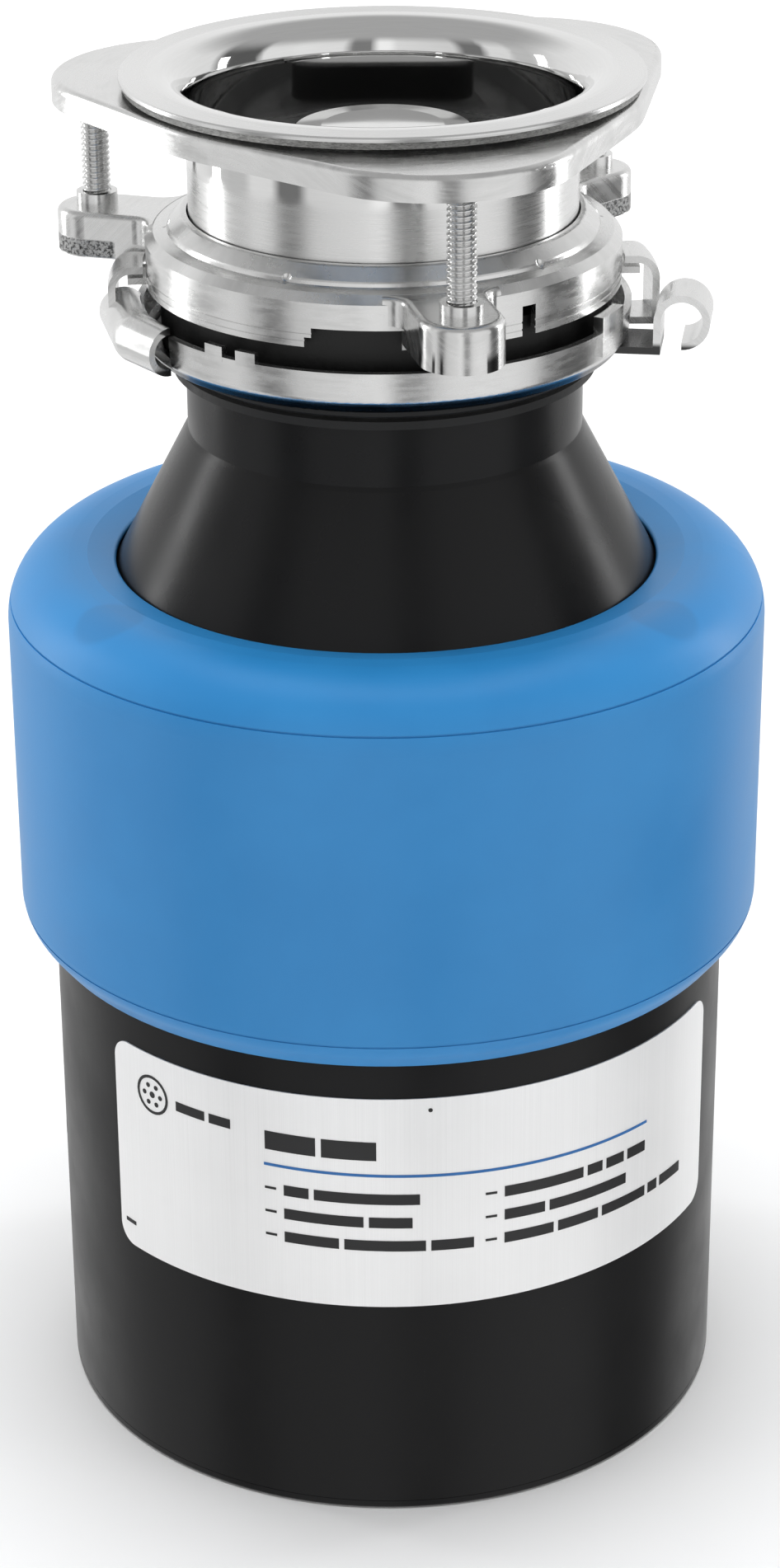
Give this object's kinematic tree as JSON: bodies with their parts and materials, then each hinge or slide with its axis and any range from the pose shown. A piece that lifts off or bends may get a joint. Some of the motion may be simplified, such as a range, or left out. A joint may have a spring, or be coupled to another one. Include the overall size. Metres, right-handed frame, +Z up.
{
  "type": "kitchen garbage disposal",
  "caption": "Kitchen food-waste disposer: sink flange and clamp rings over a black hopper, blue sound jacket and black motor housing.",
  "frame": {"origin": "centre of the wrench hole at the bottom of the base, on the motor shaft's axis", "axes": "+Z up along the motor shaft; -Y is the front, where the nameplate is; +Y is the side of the waste outlet"},
  "size_m": [0.173, 0.2255, 0.32],
  "materials": {
    "polished_steel": "polished stainless, brushed neck",
    "zinc_plate": "bright zinc plating",
    "fastener_steel": "plain zinc-plated fasteners",
    "fibre": "grey pressed fibre",
    "rubber_black": "moulded rubber",
    "black_polymer": "semi-gloss moulded polymer",
    "pipe_plastic": "satin black pipe plastic",
    "shell_blue": "satin mid-blue moulded plastic",
    "foam": "grey insulation foam",
    "grind_steel": "hardened stainless, brushed",
    "shaft_steel": "ground steel",
    "laminated_steel": "varnished electrical steel laminations",
    "copper_winding": "enamelled copper wire",
    "cast_aluminium": "as-cast",
    "bearing_bronze": "oil-filled sintered bronze",
    "housing_black": "satin black enamel",
    "plate_steel": "zinc-plated steel",
    "switch_plastic": "ivory thermoset",
    "protector_black": "black thermoset",
    "button_red": "red plastic",
    "ground_green": "green-dyed screw",
    "lead_black": "wire insulation",
    "lead_white": "wire insulation",
    "label_silver": "brushed foil label"
  },
  "bodies": {
    "disposer": {"backup_flange": "zinc_plate", "base_cover": "housing_black", "chamber_body": "black_polymer", "chamber_gasket": "rubber_black", "chamber_screws": "fastener_steel", "cushion_mount": "rubber_black", "discharge_elbow": "pipe_plastic", "discharge_gasket": "rubber_black", "discharge_plate": "plate_steel", "discharge_screws": "fastener_steel", "drain_chamber": "black_polymer", "fibre_gasket": "fibre", "grind_ring": "grind_steel", "ground_screw": "ground_green", "inlet_plug": "black_polymer", "lead_black": "lead_black", "lead_white": "lead_white", "lower_bearing": "bearing_bronze", "lower_end_frame": "cast_aluminium", "motor_housing": "housing_black", "mounting_screws": "zinc_plate", "nameplate": "label_silver", "overload_protector": "protector_black", "shaft_seal": "rubber_black", "sink_flange": "polished_steel", "snap_ring": "zinc_plate", "sound_insulation": "foam", "sound_shell": "shell_blue", "start_switch": "switch_plastic", "stator_core": "laminated_steel", "stator_windings": "copper_winding", "terminal_cover": "housing_black", "terminal_screw": "fastener_steel", "through_bolts": "fastener_steel", "upper_bearing": "bearing_bronze", "upper_end_frame": "cast_aluminium", "upper_mounting_ring": "zinc_plate"},
    "rotor": {"motor_shaft": "shaft_steel", "rotor_core": "laminated_steel", "rotor_end_rings": "cast_aluminium", "thrust_washer": "shaft_steel", "turntable": "grind_steel", "turntable_nut": "grind_steel", "lug_rivets": "grind_steel", "water_slinger": "rubber_black"},
    "lug_a": {"swivel_lug_a": "grind_steel"},
    "lug_b": {"swivel_lug_b": "grind_steel"},
    "throw_out": {"throw_out_collar": "switch_plastic"},
    "lock_ring": {"lower_mounting_ring": "zinc_plate"},
    "button": {"reset_button": "button_red"},
    "stopper": {"stopper_body": "rubber_black", "stopper_cap": "polished_steel"}
  },
  "joints": [
    {"name": "rotor_spin", "type": "hinge", "parent": "disposer", "child": "rotor", "pos_m": [0, 0, 0.1], "axis": [0, 0, 1], "continuous": true},
    {"name": "lug_a_swivel", "type": "hinge", "parent": "rotor", "child": "lug_a", "pos_m": [0.04, 0, 0.17], "axis": [0, 0, 1], "continuous": true},
    {"name": "lug_b_swivel", "type": "hinge", "parent": "rotor", "child": "lug_b", "pos_m": [-0.04, 0, 0.17], "axis": [0, 0, 1], "continuous": true},
    {"name": "throw_out_slide", "type": "slide", "parent": "rotor", "child": "throw_out", "axis": [0, 0, 1], "range_m": [0, 0.002], "stiffness_N_per_m": 400},
    {"name": "lock_ring_turn", "type": "hinge", "parent": "disposer", "child": "lock_ring", "pos_m": [0, 0, 0.265], "axis": [0, 0, 1], "range_deg": [0, 20]},
    {"name": "reset_button_press", "type": "slide", "parent": "disposer", "child": "button", "axis": [0, 0, 1], "range_m": [0, 0.003], "stiffness_N_per_m": 300},
    {"name": "stopper_lift", "type": "slide", "parent": "disposer", "child": "stopper", "axis": [0, 0, 1], "range_m": [0, 0.08]}
  ]
}
